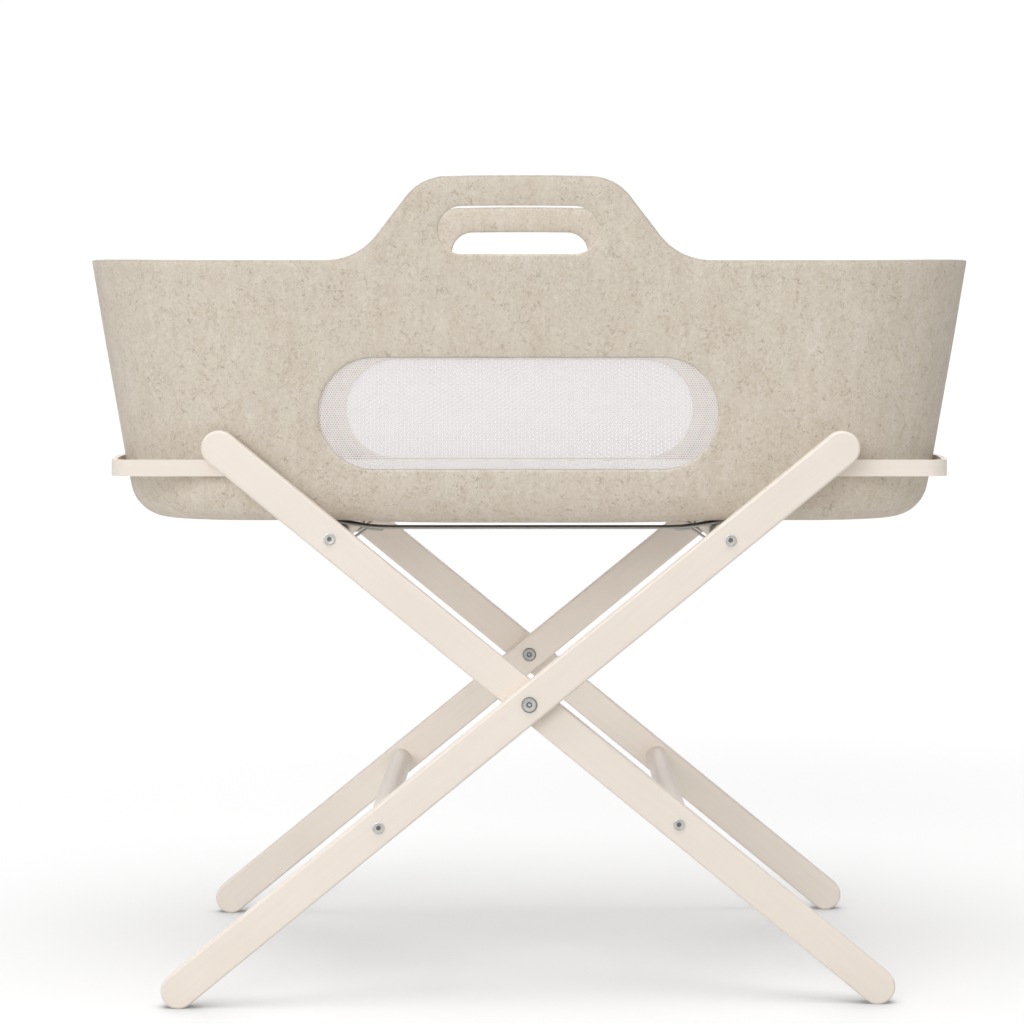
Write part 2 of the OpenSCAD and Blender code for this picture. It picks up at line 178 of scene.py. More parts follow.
def felt_material(name, light=1.0):
    """Marled felt: a mottle of pink-grey and tan wool, brown and pale hairs over it, and a few flecks."""
    g = Graph(name)
    clumps = g.noise(260, 5, 0.68, 0.6)
    broad = g.noise(26, 3, 0.6, 0.0, g.mapped(scale=(1.6, 1.6, 0.7)))
    chains = g.noise(10, 3, 0.6, 0.4, g.mapped(scale=(9, 9, 1.3)))
    mottle = g.add(g.times(clumps, 0.56), g.times(broad, 0.20))
    mottle = g.add(mottle, g.times(chains, 0.24))
    color = g.mix(g.ramp(mottle, 0.32, 0.68), scaled(FELT_PALE, light), scaled(FELT_TAN, light))
    grain = g.noise(800, 4, 0.75, 0.4)
    shade = g.mix(g.ramp(grain, 0.3, 0.7), (0.92, 0.905, 0.885), (1.06, 1.065, 1.075))
    color = g.mix(1.0, color, shade, "MULTIPLY")
    height = g.add(g.times(grain, 0.6), g.times(clumps, 0.5))
    for i, (scale, width, cluster, share, strength, tint) in enumerate(FIBRES):
        moved = g.mapped(offset=(3.1 * i, 1.7 * i, 2.3 * i))
        field = g.noise(scale, 1.0, 0.5, 0.8, moved)
        line = g.ramp(g.math("ABSOLUTE", g.math("SUBTRACT", field, 0.5)), 0.0, width, 1.0, 0.0)
        here = g.times(g.ramp(g.noise(cluster, 2, 0.6, 0.0, moved), share, share + 0.10),
                      g.ramp(g.noise(cluster * 4, 1, 0.5, 0.0, moved), 0.42, 0.60))
        line = g.times(line, here)
        color = g.mix(g.times(line, strength), color, tint)
        height = g.add(height, g.times(line, 0.3))
    fleck = g.times(g.ramp(g.noise(300, 2, 0.6, 0.5), 0.62, 0.70),
                   g.ramp(g.noise(36, 2, 0.5), 0.45, 0.62))
    color = g.mix(g.times(fleck, 0.46), color, (0.34, 0.255, 0.165))
    soft = g.bump(g.noise(38, 3, 0.5), 1.2 * MM, 0.25)
    return g.surface(color=color, rough=0.93, spec=0.12, sheen=0.12, sheen_rough=0.6,
                     normal=g.bump(height, 0.30 * MM, 0.7, soft))


def paint_material(name, angle=0.0, along="X"):
    """Satin cream paint on wood: brushed along the piece, with the grain just showing through."""
    g = Graph(name)
    stretch = {"X": (1.2, 26, 26), "Y": (26, 1.2, 26)}[along]
    turned = g.node("ShaderNodeMapping", {"Vector": g.coord, "Rotation": (0, angle, 0)}).outputs[0]
    lengthwise = g.node("ShaderNodeMapping", {"Vector": turned, "Scale": stretch}).outputs[0]
    grain = g.noise(9, 5, 0.6, 0.3, lengthwise)
    fine = g.noise(38, 3, 0.6, 0.0, lengthwise)
    tint = g.mix(g.ramp(g.noise(7, 2), 0.3, 0.7), (0.812, 0.735, 0.660), (0.846, 0.775, 0.702))
    tint = g.mix(g.ramp(grain, 0.25, 0.75, 0.0, 0.35), tint, (0.775, 0.695, 0.615))
    speck = g.noise(1300, 2, 0.6)
    height = g.add(g.times(grain, 0.6), g.times(fine, 0.4))
    first = g.bump(height, 0.10 * MM, 0.5)
    return g.surface(color=tint, rough=g.ramp(fine, 0.2, 0.8, 0.40, 0.52),
                     spec=0.42, coat=0.12, coat_rough=0.35,
                     normal=g.bump(speck, 0.03 * MM, 0.5, first))


def steel_material(name, tone=1.0):
    """Zinc-plated steel, turned: fine scratches and a little dulling."""
    g = Graph(name)
    scratch = g.noise(900, 4, 0.7, 0.0, g.mapped(scale=(1, 0.2, 1)))
    dull = g.noise(220, 3, 0.6)
    low, high = scaled((0.45, 0.445, 0.435), tone), scaled((0.58, 0.575, 0.560), tone)
    color = g.mix(g.ramp(dull, 0.3, 0.7), low, high)
    return g.surface(color=color, metal=1.0, rough=g.ramp(scratch, 0.2, 0.8, 0.40, 0.55),
                     normal=g.bump(scratch, 0.02 * MM, 0.6))


def nylon_material(name):
    """Natural nylon, slightly cloudy."""
    g = Graph(name)
    cloud = g.noise(300, 3)
    return g.surface(color=g.mix(g.ramp(cloud, 0.3, 0.7), (0.74, 0.72, 0.66), (0.82, 0.80, 0.75)), rough=0.5,
                     normal=g.bump(g.noise(2500, 2), 0.02 * MM, 0.5))


def webbing_material(name):
    """Herringbone webbing: warp ribs along X in two slopes, crossed by the weft."""
    g = Graph(name)
    rib_width, twill_pitch, warp_pitch = 3.8 * MM, 1.5 * MM, 0.63 * MM
    x, y, _ = g.axes()
    rib = g.math("FRACT", g.times(y, 1 / rib_width))
    slope = g.math("ABSOLUTE", g.math("SUBTRACT", rib, 0.5))
    phase = g.add(g.times(x, 1 / twill_pitch), g.times(slope, 3.2))
    twill = g.math("SINE", g.times(phase, 2 * math.pi))
    height = g.add(g.times(twill, 0.3), g.wave(y, warp_pitch))
    fuzz = g.noise(1500, 3, 0.7)
    # darker where the weave lies low: painted shade in its grooves
    color = g.mix(g.ramp(height, -0.2, 1.2), (0.235, 0.231, 0.222), (0.490, 0.484, 0.468))
    color = g.mix(g.ramp(fuzz, 0.35, 0.75, 0, 0.5), color, (0.48, 0.475, 0.465))
    return g.surface(color=color, rough=0.82, spec=0.25, sheen=0.25,
                     normal=g.bump(g.add(height, g.times(fuzz, 0.3)), 0.25 * MM, 0.9))


def thread_material(name, color):
    """Twisted sewing thread."""
    g = Graph(name)
    twist = g.noise(2600, 2, 0.5, 0.0, g.mapped(scale=(1, 1, 0.3)))
    return g.surface(color=g.mix(g.ramp(twist, 0.3, 0.7), scaled(color, 0.8), color), rough=0.6, sheen=0.2,
                     normal=g.bump(twist, 0.05 * MM, 0.8))


def mesh_material(name):
    """White polyester yarn of the window mesh, which lets some light through."""
    g = Graph(name)
    yarn = g.noise(1800, 3, 0.6)
    color = g.mix(g.ramp(yarn, 0.3, 0.7), (0.95, 0.925, 0.945), (0.99, 0.965, 0.985))
    normal = g.bump(yarn, 0.06 * MM, 0.7)
    shine = g.node("ShaderNodeBsdfPrincipled", {"Base Color": color, "Roughness": 0.62,
                                                "Specular IOR Level": 0.3, "Normal": normal})
    through = g.node("ShaderNodeBsdfTranslucent", {"Color": color, "Normal": normal})
    both = g.node("ShaderNodeMixShader", {0: 0.42, 1: shine.outputs[0], 2: through.outputs[0]})
    return g.out(both.outputs[0])


def cotton_material(name):
    """White jersey of the mattress cover: fine wales, faint shading between stitches."""
    g = Graph(name)
    x, y, _ = g.axes()
    wale = g.wave(x, 0.9 * MM)
    course = g.wave(g.add(y, g.times(wale, 0.25 * MM)), 0.75 * MM)
    knit = g.times(wale, course)
    fuzz = g.noise(900, 3, 0.7)
    color = g.mix(g.ramp(knit, 0.0, 0.8), (0.76, 0.755, 0.745), (0.88, 0.878, 0.870))
    color = g.mix(g.ramp(fuzz, 0.3, 0.8, 0, 0.3), color, (0.82, 0.815, 0.80))
    soft = g.bump(g.noise(55, 3, 0.5), 1.2 * MM, 0.5)
    return g.surface(color=color, rough=0.9, spec=0.2, sheen=0.3, sheen_rough=0.5,
                     normal=g.bump(g.add(knit, g.times(fuzz, 0.4)), 0.22 * MM, 0.8, soft))


def board_material(name):
    """Hardboard: pressed brown chips."""
    g = Graph(name)
    chips = g.noise(90, 5, 0.7, 1.0)
    fine = g.noise(700, 3, 0.7)
    color = g.mix(g.ramp(chips, 0.3, 0.7), (0.30, 0.20, 0.115), (0.42, 0.30, 0.185))
    color = g.mix(g.ramp(fine, 0.4, 0.7, 0, 0.6), color, (0.36, 0.26, 0.16))
    return g.surface(color=color, rough=0.62, normal=g.bump(fine, 0.08 * MM, 0.7))


def foam_material(name):
    """Yellowish open-cell foam."""
    g = Graph(name)
    cells = g.node("ShaderNodeTexVoronoi", {"Vector": g.coord, "Scale": 900}).outputs["Distance"]
    # darker in the cells' pits: painted shade
    color = g.mix(g.ramp(cells, 0.1, 0.7), (0.56, 0.50, 0.34), (0.84, 0.79, 0.62))
    return g.surface(color=color, rough=0.95, normal=g.bump(cells, 0.5 * MM, 0.8))


def zip_material(name):
    """Coil zip: teeth side by side along X on a plain tape."""
    g = Graph(name)
    x, _, z = g.axes()
    from_middle = g.math("ABSOLUTE", g.math("SUBTRACT", z, middle_of("mattress_zip").z))
    height = g.times(g.wave(x, 1.4 * MM), g.ramp(from_middle, 1.6 * MM, 2.0 * MM, 1.0, 0.0))
    weave = g.times(g.noise(1700, 2), 0.2)
    # lighter on the teeth's crests, darker between them and on the tape: painted shade
    color = g.mix(height, (0.70, 0.70, 0.69), (0.86, 0.86, 0.85))
    return g.surface(color=color, rough=0.55, normal=g.bump(g.add(height, weave), 0.5 * MM, 0.9))


along_leg = middle_of("dowel_a_upper") - middle_of("dowel_a_lower")
LEG_ANGLE = math.atan2(along_leg.z, along_leg.x)
felt = felt_material("felt")
# a darker copy of the felt, painted shade on the rim's rounded cut edge
felt_rim = felt_material("felt_rim", 0.84)
# a slightly lighter copy of the felt, painted light on the cut edges of the openings
felt_edge = felt_material("felt_edge", 1.02)
felt_tape = felt_material("felt_tape", 1.04)
paint_a = paint_material("paint_a", LEG_ANGLE)
paint_b = paint_material("paint_b", -LEG_ANGLE)
paint_bar = paint_material("paint_bar", 0.0, "Y")
paint_rail = paint_material("paint_rail")
steel = steel_material("steel")
# a darker copy of the steel, painted shade on the bolt heads' dished faces
face_steel = steel_material("face_steel", 0.76)
# a dark copy of the steel, painted shadow round the pivot heads' rims, in the heads' step and in their
# sockets
dark_steel = steel_material("dark_steel", 0.25)
nylon = nylon_material("nylon")
webbing = webbing_material("webbing")
thread = thread_material("thread", (0.30, 0.30, 0.29))
white_thread = thread_material("white_thread", (0.80, 0.79, 0.77))
yarn = mesh_material("yarn")
cotton = cotton_material("cotton")
board = board_material("board")
foam = foam_material("foam")
zip_look = zip_material("zip_look")


def paint_node(name, material, bevel=0.0):
    """A CAD node's material, and a rounding of its edges where they look too sharp."""
    obj = nodes[name]
    obj.data.materials.clear()
    obj.data.materials.append(material)
    if bevel:
        m = obj.modifiers.new("edge", "BEVEL")
        m.width, m.segments, m.limit_method, m.angle_limit = bevel, 3, "ANGLE", math.radians(40)
        m.harden_normals = True


for side, leg_paint in (("a", paint_a), ("b", paint_b)):
    for name in (f"leg_{side}_front", f"leg_{side}_back"):
        paint_node(name, leg_paint)
    for name in (f"dowel_{side}_upper", f"dowel_{side}_lower"):
        paint_node(name, paint_bar)
    paint_node(f"end_rail_{side}", paint_rail, 1.4 * MM)
    paint_node(f"rail_spacer_{side}", paint_rail)
    for name in (f"rail_screws_{side}", f"crossbar_bolts_{side}", f"dowel_inserts_{side}"):
        paint_node(name, steel)
for name in ("pivot_bolts", "pivot_barrel_nuts"):
    paint_node(name, steel)
paint_node("pivot_washers", nylon)
paint_node("base_board", board)
paint_node("mattress_core", foam)
paint_node("mattress_zip", zip_look)
wadding = nodes["mattress_core"].modifiers.new("wadding", "DISPLACE")     # room for the quilting's hollows
wadding.mid_level, wadding.strength = 0.0, -5.0 * MM


# ---------------- mesh helpers

def new_object(name, verts, faces, material, smooth=True):
    """A mesh object in the scene, with its first material."""
    mesh = bpy.data.meshes.new(name)
    mesh.from_pydata([tuple(map(float, v)) for v in verts], [], faces)
    mesh.update()
    mesh.materials.append(material)
    if smooth:
        mesh.polygons.foreach_set("use_smooth", [True] * len(mesh.polygons))
    obj = bpy.data.objects.new(name, mesh)
    bpy.context.scene.collection.objects.link(obj)
    return obj


def weld(obj, distance):
    """Joins points that lie together, and turns all faces outwards."""
    b = bmesh.new()
    b.from_mesh(obj.data)
    bmesh.ops.remove_doubles(b, verts=b.verts, dist=distance)
    bmesh.ops.recalc_face_normals(b, faces=b.faces)
    b.to_mesh(obj.data)
    b.free()
    obj.data.update()


def bridge(faces, a, b, count, closed=True, flip=False):
    """Adds the quads between two rings of count points, which start at the points a and b."""
    for i in range(count if closed else count - 1):
        j = (i + 1) % count
        quad = (a + i, a + j, b + j, b + i)
        faces.append(quad[::-1] if flip else quad)


def cap(faces, first, count, flip=False):
    """Adds one face over a ring of points."""
    ring = tuple(range(first, first + count))
    faces.append(ring[::-1] if flip else ring)


def loop_frame(loop):
    """The directions along a closed flat loop, and those to its left."""
    along = np.roll(loop, -1, 0) - np.roll(loop, 1, 0)
    along /= np.linalg.norm(along, axis=1)[:, None]
    return along, np.stack([-along[:, 1], along[:, 0]], 1)


def smooth_step(value):
    """0 up to 0, 1 from 1 on, and a smooth rise between."""
    t = np.clip(value, 0, 1)
    return t * t * (3 - 2 * t)


# ---------------- basket shell

shell_lo, shell_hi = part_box("basket_shell")
FELT = 4 * MM                    # thickness
FLARE = math.radians(9.9)        # lean of the walls
SLOPE = math.tan(FLARE)
WALL_RUN = FELT / math.cos(FLARE)                 # the felt's thickness, measured level
HANDLE_H = 75.8 * MM             # the handles' height over the rim
BASE_Z, RIM_Z = shell_lo.z, shell_hi.z - HANDLE_H
RIM_R, BASE_R = 163 * MM, 35 * MM                 # corners in plan at the rim, rounding into the underside
BASE_CORNER = RIM_R - (RIM_Z - BASE_Z) * SLOPE    # corners in plan at the underside
HALF_L, HALF_W = shell_hi.x, shell_hi.y - HANDLE_H * SLOPE
CX, CY = HALF_L - RIM_R, HALF_W - RIM_R           # a corner's centre in plan
FEATURE_X = -10 * MM             # middle of the handles and windows
WINDOW_L, WINDOW_H, WINDOW_Z = 365 * MM, 103 * MM, 534 * MM
SLOT_L, SLOT_H, SLOT_Z = 145 * MM, 43 * MM, RIM_Z + 27.1 * MM

# a handle's outline: level crown, shoulder, straight side, and foot that runs into the rim
CROWN_HALF, CROWN_R, FOOT_R, HANDLE_SLOPE = 65.5 * MM, 45 * MM, 59 * MM, math.radians(52.7)

# small departures from the plain tub
SADDLE_UP, SADDLE_DROP, SADDLE_FROM = 4.3 * MM, 6.6 * MM, 0.600   # rim: up at the ends, down along the sides
DOME, DOME_HALF = 2.0 * MM, 0.105                 # fall of a crown towards its shoulders
SAG, SAG_HALF, SAG_TOP = 2.3 * MM, 0.165, 0.05    # of the base between the straps
END_OUT, END_FROM, END_RISE = 1.8 * MM, 0.20, 0.15     # the ends, further out than the CAD's

PERIMETER = 4 * CX + 4 * CY + 2 * math.pi * RIM_R
FRONT_U, BACK_U = FEATURE_X, -PERIMETER / 2 - FEATURE_X      # the features' middles along the perimeter

EDGE_OUT = 1.9 * MM              # rounding of a cut edge
STEP = 6.0 * MM                  # distance of the wall's points
CLOSE_STEP, CLOSE_REACH, LEAST_GAP = 2.0 * MM, 0.165, 1.1 * MM    # closer points along the handles
Z_LOW = BASE_Z + BASE_R * (1 - math.sin(FLARE)) + 0.1 * MM   # the wall's lower end, just above the rounding
U0, U1 = -0.75 * PERIMETER, 0.25 * PERIMETER
COLUMNS = int(round(PERIMETER / STEP / 4)) * 4
GRID_U = np.linspace(U0, U1, COLUMNS + 1)

# openings: middle along the perimeter, height, length and height to the felt's inset edge, step
OPENINGS = [(u, z, length + 2 * EDGE_OUT, height + 2 * EDGE_OUT, step)
            for u in (FRONT_U, BACK_U)
            for z, length, height, step in ((WINDOW_Z, WINDOW_L, WINDOW_H, 3.0 * MM),
                                            (SLOT_Z, SLOT_L, SLOT_H, 2.0 * MM))]


def plan(u, cx=CX, cy=CY, r=RIM_R):
    """For places u along a rounded rectangle, from its front's middle: corner centres and ways out."""
    arc = r * math.pi / 2
    runs = [(cx, False), (arc, True), (2 * cy, False), (arc, True), (2 * cx, False),
            (arc, True), (2 * cy, False), (arc, True), (cx, False)]
    u = np.mod(u, sum(length for length, _ in runs))
    base, out = np.zeros((len(u), 2)), np.zeros((len(u), 2))
    start, x, y, heading = 0.0, 0.0, -cy, -math.pi / 2
    for length, turning in runs:
        here = (u >= start - 1e-12) & (u <= start + length + 1e-12)
        d = u[here] - start
        along = (math.cos(heading + math.pi / 2), math.sin(heading + math.pi / 2))
        if turning:
            base[here] = (x, y)
            out[here] = np.stack([np.cos(heading + d / r), np.sin(heading + d / r)], 1)
            heading += math.pi / 2
        else:
            base[here] = np.stack([x + d * along[0], y + d * along[1]], 1)
            out[here] = (math.cos(heading), math.sin(heading))
            x, y = x + length * along[0], y + length * along[1]
        start += length
    return base, out


def settle(points):
    """Moves the tub's points: a saddle in the rim, domed crowns, a sagging base and longer ends."""
    x, y, z = points[:, 0], points[:, 1], points[:, 2]
    high = smooth_step((z - SADDLE_FROM) / (RIM_Z - SADDLE_FROM))
    saddle = SADDLE_UP - SADDLE_DROP * np.clip(np.abs(y) / HALF_W, 0, 1) ** 2
    crown = np.clip((z - RIM_Z) / HANDLE_H, 0, 1)
    dome = -DOME * np.clip(np.abs(x - FEATURE_X) / DOME_HALF, 0, 1) ** 2 * crown
    grow = np.clip((z - BASE_Z) / SAG_TOP, 0, 1)
    sag = -SAG * (1 - grow) * (1 - np.clip(np.abs(x) / SAG_HALF, 0, 1) ** 4)
    reach = smooth_step((np.abs(x) - END_FROM) / END_RISE)
    return np.stack([x + np.sign(x) * END_OUT * grow * reach, y, z + high * saddle + dome + sag], 1)


def wall(u, z, inset):
    """Points on the wall, inset (level) from its outer face."""
    base, out = plan(u)
    z = np.asarray(z, float)
    r = BASE_CORNER + (z - BASE_Z) * SLOPE - inset
    return np.column_stack([base + out * r[:, None], z])


def rim_height(u):
    """Height of the felt's upper edge at u: the rim, and the two handles' outlines over it."""
    u = np.abs(np.where(u > -PERIMETER / 4, u - FRONT_U, u - BACK_U))
    shoulder = CROWN_HALF + CROWN_R * math.sin(HANDLE_SLOPE)
    shoulder_h = HANDLE_H - CROWN_R * (1 - math.cos(HANDLE_SLOPE))
    heel = shoulder + (shoulder_h - FOOT_R * (1 - math.cos(HANDLE_SLOPE))) / math.tan(HANDLE_SLOPE)
    end = heel + FOOT_R * math.sin(HANDLE_SLOPE)
    past_crown = np.maximum(u - CROWN_HALF, 0)
    on_crown = HANDLE_H - CROWN_R + np.sqrt(np.maximum(CROWN_R ** 2 - past_crown ** 2, 0))
    on_side = shoulder_h - (u - shoulder) * math.tan(HANDLE_SLOPE)
    on_foot = FOOT_R - np.sqrt(np.maximum(FOOT_R ** 2 - (end - u) ** 2, 0))
    return RIM_Z + np.select([u <= shoulder, u <= heel, u <= end], [on_crown, on_side, on_foot], 0.0)


def stadium_loop(uc, zc, length, height, step):
    """Closed loop round a stadium, clockwise, so that the felt lies on its left."""
    r, half = height / 2, (length - height) / 2
    n_arc, n_line = max(8, int(math.pi * r / step)), max(2, int(2 * half / step))
    pts = []
    for side in (1, -1):
        pts += [(uc + side * (2 * half * i / n_line - half), zc + side * r) for i in range(n_line)]
        turns = [side * math.pi / 2 - math.pi * i / n_arc for i in range(n_arc)]
        pts += [(uc + side * half + r * math.cos(a), zc + r * math.sin(a)) for a in turns]
    return np.array(pts)


def in_stadium(u, z, uc, zc, length, height):
    """Whether points lie in a stadium."""
    du = np.maximum(np.abs(u - uc) - (length - height) / 2, 0)
    return du ** 2 + (z - zc) ** 2 < (height / 2) ** 2


def upper_edge():
    """The felt's upper edge in (u, z), closer along the handles; the same edge set in; and its normals."""
    close = [np.arange(c - CLOSE_REACH, c + CLOSE_REACH, CLOSE_STEP) for c in (FRONT_U, BACK_U)]
    u = np.unique(np.round(np.concatenate([GRID_U] + close), 7))
    keep = np.ones(len(u), bool)
    keep[1:-1] = np.diff(u)[:-1] >= LEAST_GAP
    u = u[keep]
    z = rim_height(u)
    du, dz = np.gradient(u), np.gradient(z)
    normal = np.stack([-dz, du], 1) / np.hypot(du, dz)[:, None]
    edge = np.stack([u, z], 1)
    inset = edge - normal * EDGE_OUT
    inset[0], inset[-1] = (U0, z[0] - EDGE_OUT), (U1, z[-1] - EDGE_OUT)
    return edge, inset, normal


def wall_sheet(edge, inset, holes):
    """The whole wall as one flat sheet of triangles in (u, z), inside its edges and outside the holes."""
    levels = int((RIM_Z - EDGE_OUT - Z_LOW) / STEP)
    side_z = np.linspace(Z_LOW, RIM_Z - EDGE_OUT, levels + 1)[1:-1]
    bottom = np.stack([GRID_U, np.full(len(GRID_U), Z_LOW)], 1)
    right = np.stack([np.full(levels - 1, U1), side_z], 1)
    left = np.stack([np.full(levels - 1, U0), side_z[::-1]], 1)
    loops = [np.concatenate([bottom, right, inset[::-1], left])] + holes
    borders, start = [], 0
    for loop in loops:
        n = len(loop)
        borders += [(start + i, start + (i + 1) % n) for i in range(n)]
        start += n
    gu, gz = (a.ravel() for a in np.meshgrid(GRID_U[1:-1], np.arange(Z_LOW + STEP, shell_hi.z, STEP)))
    ok = gz < np.interp(gu, edge[:, 0], edge[:, 1]) - 0.75 * STEP
    for u, z, length, height, _ in OPENINGS:
        ok &= ~in_stadium(gu, gz, u, z, length + STEP, height + STEP)
    inside = np.stack([gu[ok], gz[ok]], 1)
    near = np.min(np.linalg.norm(inside[:, None] - inset[None], axis=2), 1)
    points = np.concatenate(loops + [inside[near > 0.7 * STEP]])
    made = delaunay_2d_cdt([Vector(p) for p in points], borders, [], 0, 1e-9)
    flat = np.array([tuple(v) for v in made[0]])
    tris = np.array([f for f in made[2] if len(f) == 3])
    centre = flat[tris].mean(1)
    ok = centre[:, 1] < np.interp(centre[:, 0], inset[:, 0], inset[:, 1])
    for u, z, length, height, _ in OPENINGS:
        ok &= ~in_stadium(centre[:, 0], centre[:, 1], u, z, length, height)
    tris = tris[ok]
    a, b, c = (flat[tris[:, i]] for i in range(3))
    area = (b[:, 0] - a[:, 0]) * (c[:, 1] - a[:, 1]) - (b[:, 1] - a[:, 1]) * (c[:, 0] - a[:, 0])
    real = np.abs(area) > 1e-12
    tris, area = tris[real], area[real]
    tris[area < 0] = tris[area < 0][:, ::-1]
    return flat, tris


def build_shell():
    """The tub: two skins with a rounded way into the flat underside, joined by rounded cut edges."""
    edge, inset, normal = upper_edge()
    holes = [stadium_loop(*opening) for opening in OPENINGS]
    flat, tris = wall_sheet(edge, inset, holes)
    verts, faces = [], []

    def add(points):
        first = sum(len(v) for v in verts)
        verts.append(points)
        return first

    def skin(depth):
        """One face of the felt, depth in from the outer one."""
        run, flip = depth / math.cos(FLARE), depth > 0
        first = add(wall(flat[:, 0], flat[:, 1], run))
        for t in tris + first:
            faces.append(tuple(int(i) for i in (t[::-1] if flip else t)))
        r, low = BASE_R - depth, BASE_Z + depth
        centre_r = BASE_CORNER + depth * SLOPE - run - r * (1 - math.sin(FLARE)) / math.cos(FLARE)
        bend = [(centre_r + r * math.cos(a), low + r + r * math.sin(a))
                for a in np.linspace(-FLARE, -math.pi / 2, 11)[1:]]
        level = [(ring_r, low) for ring_r in np.linspace(centre_r, 4 * MM, 8)[1:]]
        base, out = plan(GRID_U[:-1])
        firsts = [add(wall(GRID_U[:-1], np.full(COLUMNS, Z_LOW), run))]
        for ring_r, z in bend + level:
            firsts.append(add(np.column_stack([base + out * ring_r, np.full(COLUMNS, z)])))
        for upper, lower in zip(firsts, firsts[1:]):
            bridge(faces, lower, upper, COLUMNS, flip=flip)
        cap(faces, firsts[-1], COLUMNS, not flip)

    def edge_strip(loop, outward, closed):
        """The felt's rounded cut edge along a loop of the wall."""
        firsts = []
        for t in np.linspace(0, 1, 7):
            p = loop + outward * EDGE_OUT * math.sqrt(max(0.0, 1 - (2 * t - 1) ** 2))
            firsts.append(add(wall(p[:, 0], p[:, 1], WALL_RUN * t)))
        for a, b in zip(firsts, firsts[1:]):
            bridge(faces, a, b, len(loop), closed)

    skin(0.0)
    skin(FELT)
    skin_faces = len(faces)
    edge_strip(inset, normal, False)
    rim_faces = len(faces)
    for loop in holes:
        edge_strip(loop[::-1], -loop_frame(loop)[1][::-1], True)
    obj = new_object("basket_felt", settle(np.concatenate(verts)), faces, felt)
    obj.data.materials.append(felt_rim)
    obj.data.materials.append(felt_edge)
    # the rim's cut edge gets the darker felt (painted shade), the openings' cut edges the lighter one
    # (painted light)
    looks = [int(i >= skin_faces) + int(i >= rim_faces) for i in range(len(faces))]
    obj.data.polygons.foreach_set("material_index", looks)
    weld(obj, 2e-6)
    return obj


shell = build_shell()
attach(shell, "basket")
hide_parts("basket_shell")


# ---------------- mesh windows

NET_PITCH, NET_HOLE, NET_LONG = 2.3 * MM, 0.54, 1.08    # distance of the holes, their share, their length
NET_RELIEF, NET_SAG, NET_MARGIN = 0.16 * MM, 0.9 * MM, 2 * MM
NET_GAP, TAPE_GAP, STITCH_GAP = 0.5 * MM, 0.7 * MM, 2.5 * MM   # how far they lie off the felt's inside
TAPE_PROFILE = ((0.0, 0.25), (0.0, 1.0), (0.35, 1.55), (1.2, 1.8), (3.0, 1.75), (6.5, 1.85), (10.0, 1.75),
                (12.0, 1.8), (12.7, 1.5), (13.0, 1.0), (13.0, 0.25))     # mm from the opening, mm high
STITCH_ROWS, STITCH_PITCH = (2.4 * MM, 10.6 * MM), 3.2 * MM
# a stitch's rings: place along it, radius and height, as shares of its length and radius
STITCH_SHAPE = ((-0.5, 0.3, -0.6), (-0.38, 0.85, -0.1), (0.0, 1.0, 0.15), (0.38, 0.85, -0.1),
                (0.5, 0.3, -0.6))


def window_plane(x, s, out, depth):
    """Points of a window's plane: x along, s up the slanted wall from its middle, depth into the basket."""
    z = WINDOW_Z + s * math.cos(FLARE)
    half = CY + BASE_CORNER + (z - BASE_Z) * SLOPE - depth
    return np.column_stack([FEATURE_X - x * out, out * half, z])


def build_net(name, out):
    """Knitted net: a lattice of hexagonal holes, turned a quarter at the back as the cloth was cut."""
    lo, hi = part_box(name)
    full_l, full_h = hi.x - lo.x - NET_MARGIN, (hi.z - lo.z) / math.cos(FLARE) - NET_MARGIN
    row, corner_r = NET_PITCH * math.sqrt(3) / 2, NET_PITCH / math.sqrt(3)
    hole_r = NET_HOLE * corner_r
    quarter = out > 0
    high, wide = (full_l, full_h) if quarter else (full_h, full_l)
    rows, cols = int(high / row / 2) + 1, int(wide / NET_PITCH / 2) + 1
    verts, faces, found = [], [], {}

    def corner(px, py):
        """A corner shared by neighbouring cells."""
        key = (round(px / (0.1 * MM)), round(py / (0.1 * MM)))
        if key not in found:
            found[key] = len(verts)
            verts.append((px, py, 0.0))
        return found[key]

    for j in range(-rows, rows + 1):
        for i in range(-cols, cols + 1):
            cx, cy = (i + 0.5 * (j % 2)) * NET_PITCH, j * row
            x, s = (cy, cx) if quarter else (cx, cy)
            if not in_stadium(x, s, 0, 0, full_l - NET_PITCH, full_h - NET_PITCH):
                continue
            ring_out, ring_in = [], []
            for k in range(6):
                a = math.pi / 6 + k * math.pi / 3
                ring_out.append(corner(cx + corner_r * math.cos(a), cy + corner_r * math.sin(a)))
                ring_in.append(len(verts))
                verts.append((cx + hole_r * math.cos(a), cy + hole_r * math.sin(a) * NET_LONG, NET_RELIEF))
            for k in range(6):
                m = (k + 1) % 6
                faces.append((ring_out[k], ring_out[m], ring_in[m], ring_in[k]))
    flat = np.array(verts)
    if quarter:
        flat = flat[:, [1, 0, 2]]
    sag = NET_SAG * np.cos(np.clip(flat[:, 0] / full_l, -0.5, 0.5) * math.pi) * \
        np.cos(np.clip(flat[:, 1] / full_h, -0.5, 0.5) * math.pi)
    points = window_plane(flat[:, 0], flat[:, 1], out, WALL_RUN + NET_GAP + flat[:, 2] + sag)
    obj = new_object(name.replace("window_mesh", "mesh_net"), points, faces, yarn, False)
    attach(obj, "basket")
    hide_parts(name)


def window_loop(distance, step):
    """A loop round a window at a distance outside its opening, and its directions."""
    loop = stadium_loop(0, 0, WINDOW_L + 1 * MM, WINDOW_H + 1 * MM, step)
    along, left = loop_frame(loop)
    return loop + left * distance, along


